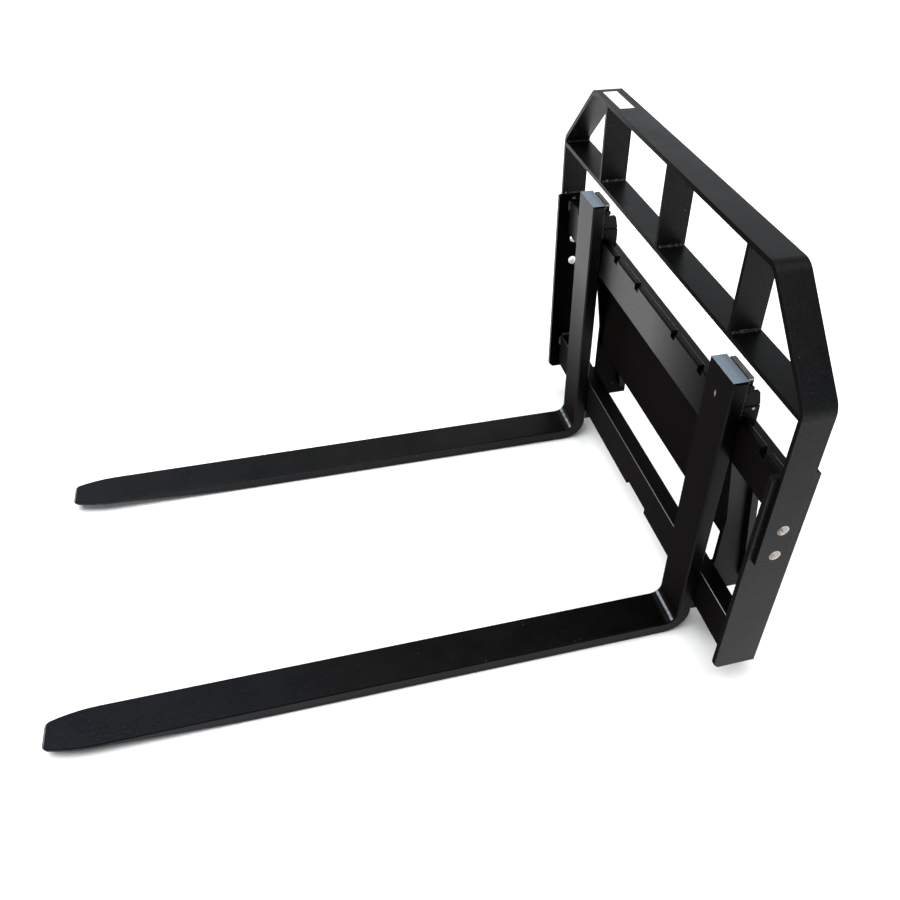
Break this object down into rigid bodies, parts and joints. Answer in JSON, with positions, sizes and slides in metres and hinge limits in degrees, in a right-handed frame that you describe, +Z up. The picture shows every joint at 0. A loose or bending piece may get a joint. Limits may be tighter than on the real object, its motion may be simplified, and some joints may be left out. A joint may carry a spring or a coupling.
{
  "type": "pallet fork attachment",
  "caption": "Pallet fork attachment for a skid-steer loader: welded carriage with a bent guard hoop, and forged L-shaped forks that slide along it and latch in notches.",
  "frame": {"origin": "centre of the footprint, on the ground that the blades lie on", "axes": "+X to the right end of the carriage as seen from the blade tips; -Y along the blades to their tips; +Z up"},
  "size_m": [1.216, 1.546, 0.9265],
  "materials": {
    "frame_black": "satin black powder coat over welded flat bar",
    "fork_black": "satin black paint over forged steel",
    "bare_steel": "plain machined steel",
    "handle_zinc": "dull zinc plate",
    "label": "blank white vinyl label"
  },
  "bodies": {
    "carriage": {"upper_carriage_bar": "frame_black", "lower_carriage_bar": "frame_black", "end_plate_left": "frame_black", "end_plate_right": "frame_black", "gusset_left": "frame_black", "gusset_right": "frame_black", "gusset_rib_left": "frame_black", "gusset_rib_right": "frame_black", "back_plate": "frame_black", "quick_attach_lip": "frame_black", "quick_attach_foot_left": "frame_black", "quick_attach_foot_right": "frame_black", "guard_hoop": "frame_black", "guard_cross_bar": "frame_black", "guard_post_left": "frame_black", "guard_post_centre": "frame_black", "guard_post_right": "frame_black", "blank_label": "label"},
    "fork_left": {"fork_left": "fork_black", "top_hook_left": "fork_black", "hook_tongue_left": "fork_black", "latch_bracket_left": "fork_black", "bottom_hook_left": "fork_black", "hook_dowel_left": "bare_steel", "latch_spring_left": "bare_steel"},
    "latch_pin_left": {"latch_pin_left": "bare_steel", "lever_pivot_left": "bare_steel"},
    "latch_lever_left": {"latch_lever_left": "handle_zinc"},
    "fork_right": {"fork_right": "fork_black", "top_hook_right": "fork_black", "hook_tongue_right": "fork_black", "latch_bracket_right": "fork_black", "bottom_hook_right": "fork_black", "hook_dowel_right": "bare_steel", "latch_spring_right": "bare_steel"},
    "latch_pin_right": {"latch_pin_right": "bare_steel", "lever_pivot_right": "bare_steel"},
    "latch_lever_right": {"latch_lever_right": "handle_zinc"}
  },
  "joints": [
    {"name": "fork_right_slide", "type": "slide", "parent": "carriage", "child": "fork_right", "axis": [1, 0, 0], "range_m": [-0.27, 0.135]},
    {"name": "fork_left_slide", "type": "slide", "parent": "carriage", "child": "fork_left", "axis": [-1, 0, 0], "range_m": [-0.27, 0.135]},
    {"name": "latch_right_drop", "type": "slide", "parent": "fork_right", "child": "latch_pin_right", "axis": [0, 0, -1], "range_m": [0, 0.0066], "deforming": ["latch_spring_right"]},
    {"name": "latch_left_drop", "type": "slide", "parent": "fork_left", "child": "latch_pin_left", "axis": [0, 0, -1], "range_m": [0, 0.0066], "deforming": ["latch_spring_left"]},
    {"name": "lever_right_flip", "type": "hinge", "parent": "latch_pin_right", "child": "latch_lever_right", "pos_m": [0.375, 0.64, 0.6738], "axis": [-1, 0, 0], "range_deg": [0, 90]},
    {"name": "lever_left_flip", "type": "hinge", "parent": "latch_pin_left", "child": "latch_lever_left", "pos_m": [-0.375, 0.64, 0.6738], "axis": [-1, 0, 0], "range_deg": [0, 90]}
  ],
  "couplings": [
    {"joint": "lever_right_flip", "follows": "latch_right_drop", "rad_per_m": 237.99},
    {"joint": "lever_left_flip", "follows": "latch_left_drop", "rad_per_m": 237.99}
  ]
}
